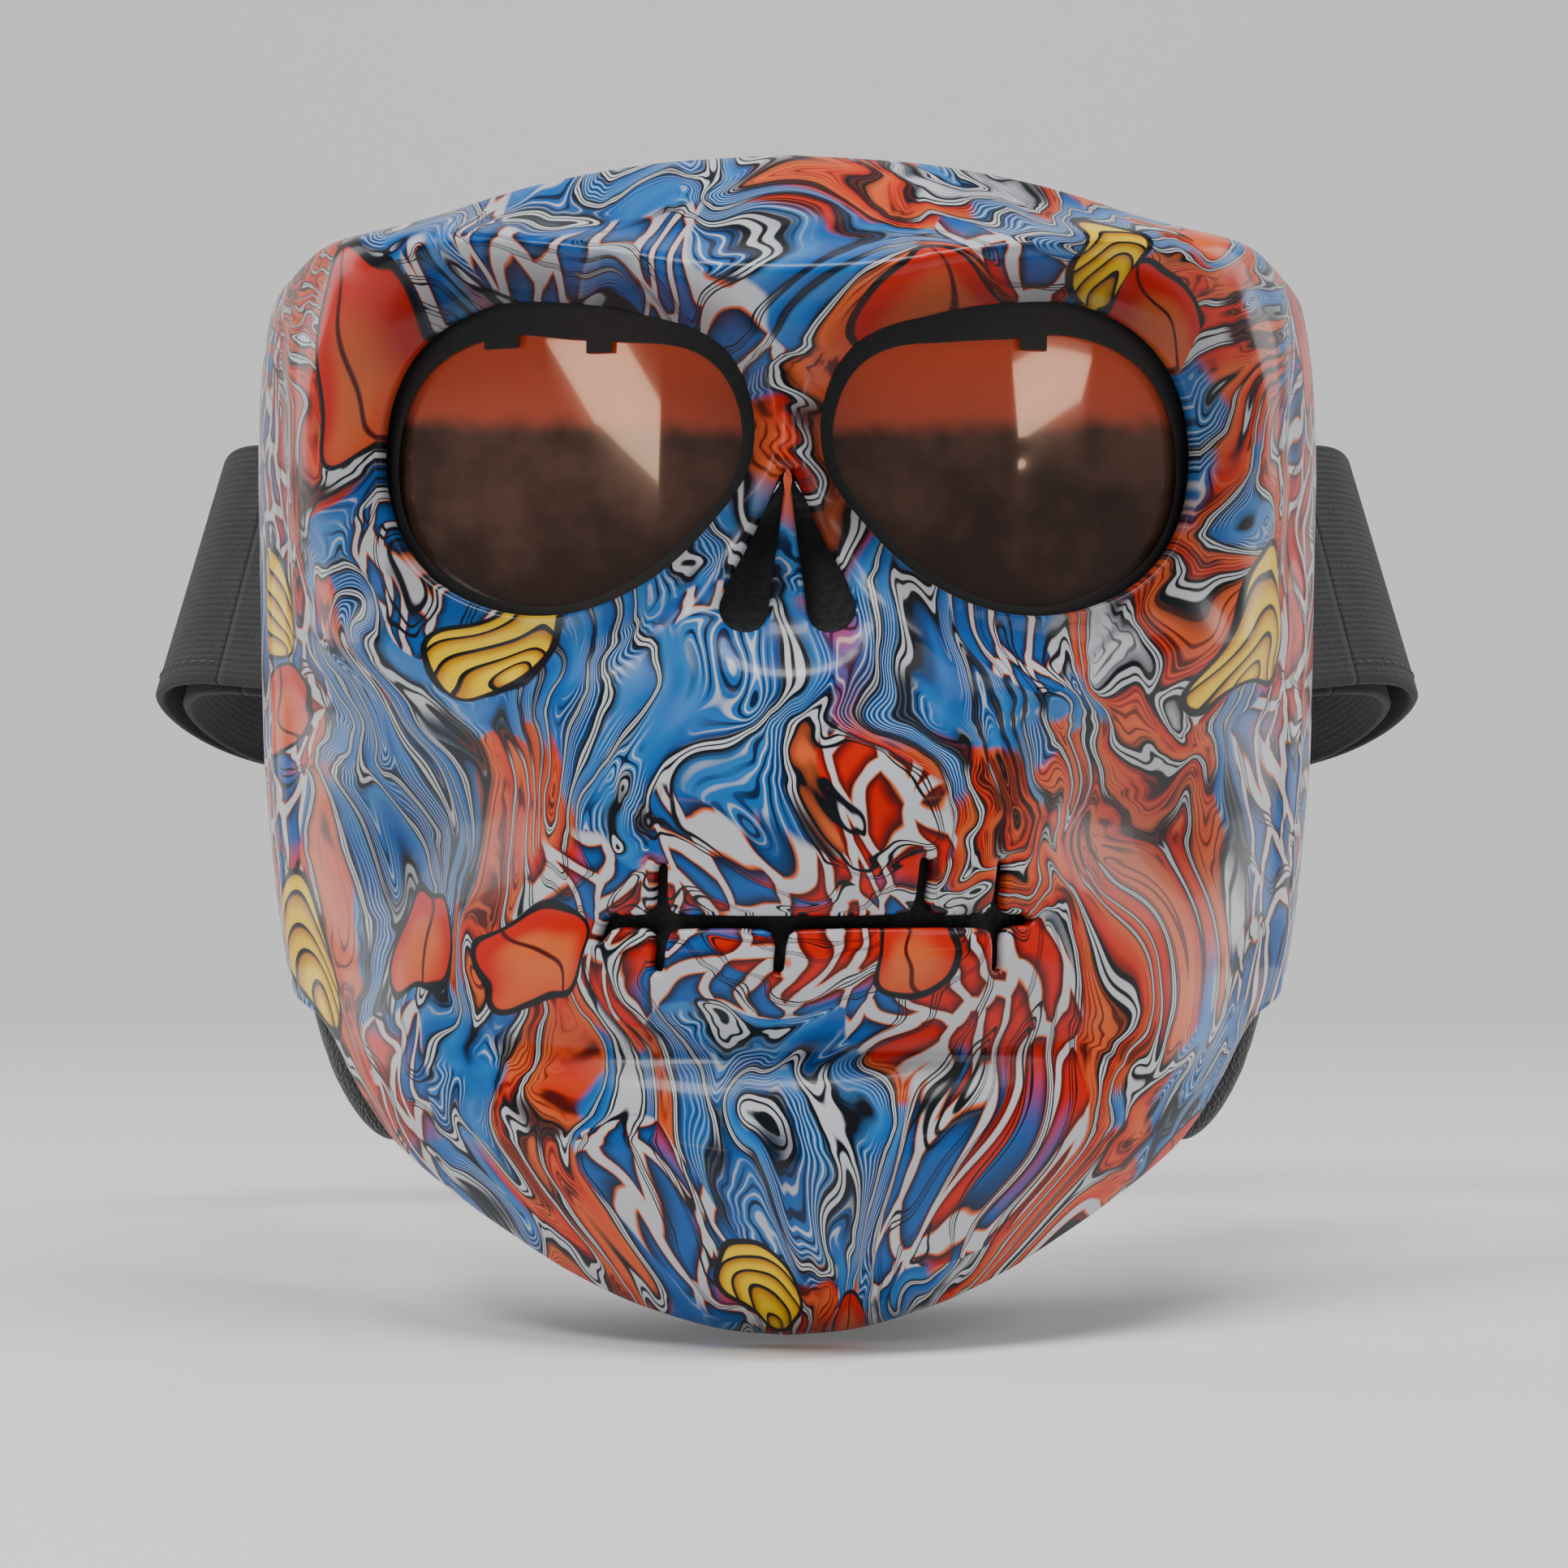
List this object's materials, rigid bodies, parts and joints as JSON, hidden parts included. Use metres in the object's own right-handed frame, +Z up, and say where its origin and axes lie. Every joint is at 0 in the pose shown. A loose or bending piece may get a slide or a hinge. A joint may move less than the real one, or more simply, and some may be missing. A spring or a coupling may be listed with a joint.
{
  "type": "full-face mask",
  "caption": "Full-face skull-shaped hard mask with a snap-in mirrored goggle, stitched mouth slit, foam padding and a wide elastic head strap on pivoting clips.",
  "frame": {"origin": "on the mid-plane at eye height, where the bridge of the wearer's nose comes", "axes": "+X to the viewer's right when facing the mask, +Y back towards the wearer, +Z up"},
  "size_m": [0.261, 0.251, 0.2035],
  "materials": {
    "shell_print": "gloss clear coat over a printed swirl",
    "goggle_black": "satin moulded",
    "lens_mirror": "tinted, mirror coated",
    "gasket": "matt",
    "face_foam": "soft foam with a knitted face",
    "filter_foam": "open-cell foam",
    "elastic": "woven elastic, brushed face",
    "hardware_black": "satin moulded",
    "steel": "satin"
  },
  "bodies": {
    "shell": {"face_shell": "shell_print", "forehead_pad": "face_foam", "cheek_pad_left": "face_foam", "cheek_pad_right": "face_foam", "jaw_pad_left": "face_foam", "jaw_pad_right": "face_foam", "chin_pad": "face_foam", "nose_filter": "filter_foam", "mouth_filter": "filter_foam", "filter_frame": "hardware_black", "filter_screws": "steel", "strap_anchor_left": "hardware_black", "strap_anchor_right": "hardware_black", "anchor_screws_left": "steel", "anchor_screws_right": "steel", "hinge_pin_left": "steel", "hinge_pin_right": "steel", "strap_band": "elastic", "strap_return_left": "elastic", "strap_return_right": "elastic"},
    "goggle": {"goggle_frame": "goggle_black", "lens_left": "lens_mirror", "lens_right": "lens_mirror", "lens_gasket_left": "gasket", "lens_gasket_right": "gasket", "goggle_foam": "face_foam"},
    "clip_left": {"strap_clip_left": "hardware_black", "strap_loop_left": "elastic"},
    "clip_right": {"strap_clip_right": "hardware_black", "strap_loop_right": "elastic"},
    "slider_left": {"strap_slider_left": "hardware_black"},
    "slider_right": {"strap_slider_right": "hardware_black"}
  },
  "joints": [
    {"name": "goggle_snap", "type": "slide", "parent": "shell", "child": "goggle", "axis": [0, 1, 0], "range_m": [0, 0.018]},
    {"name": "clip_hinge_left", "type": "hinge", "parent": "shell", "child": "clip_left", "pos_m": [-0.07046, 0.04498, -0.01201], "axis": [0.204, 0.2922, 0.9343], "range_deg": [-30, 6]},
    {"name": "clip_hinge_right", "type": "hinge", "parent": "shell", "child": "clip_right", "pos_m": [0.07046, 0.04498, -0.01201], "axis": [-0.204, 0.2922, 0.9343], "range_deg": [-6, 30]},
    {"name": "strap_adjust_left", "type": "slide", "parent": "shell", "child": "slider_left", "axis": [1, 0, 0], "range_m": [-0.018, 0.022]},
    {"name": "strap_adjust_right", "type": "slide", "parent": "shell", "child": "slider_right", "axis": [1, 0, 0], "range_m": [-0.022, 0.018]}
  ]
}
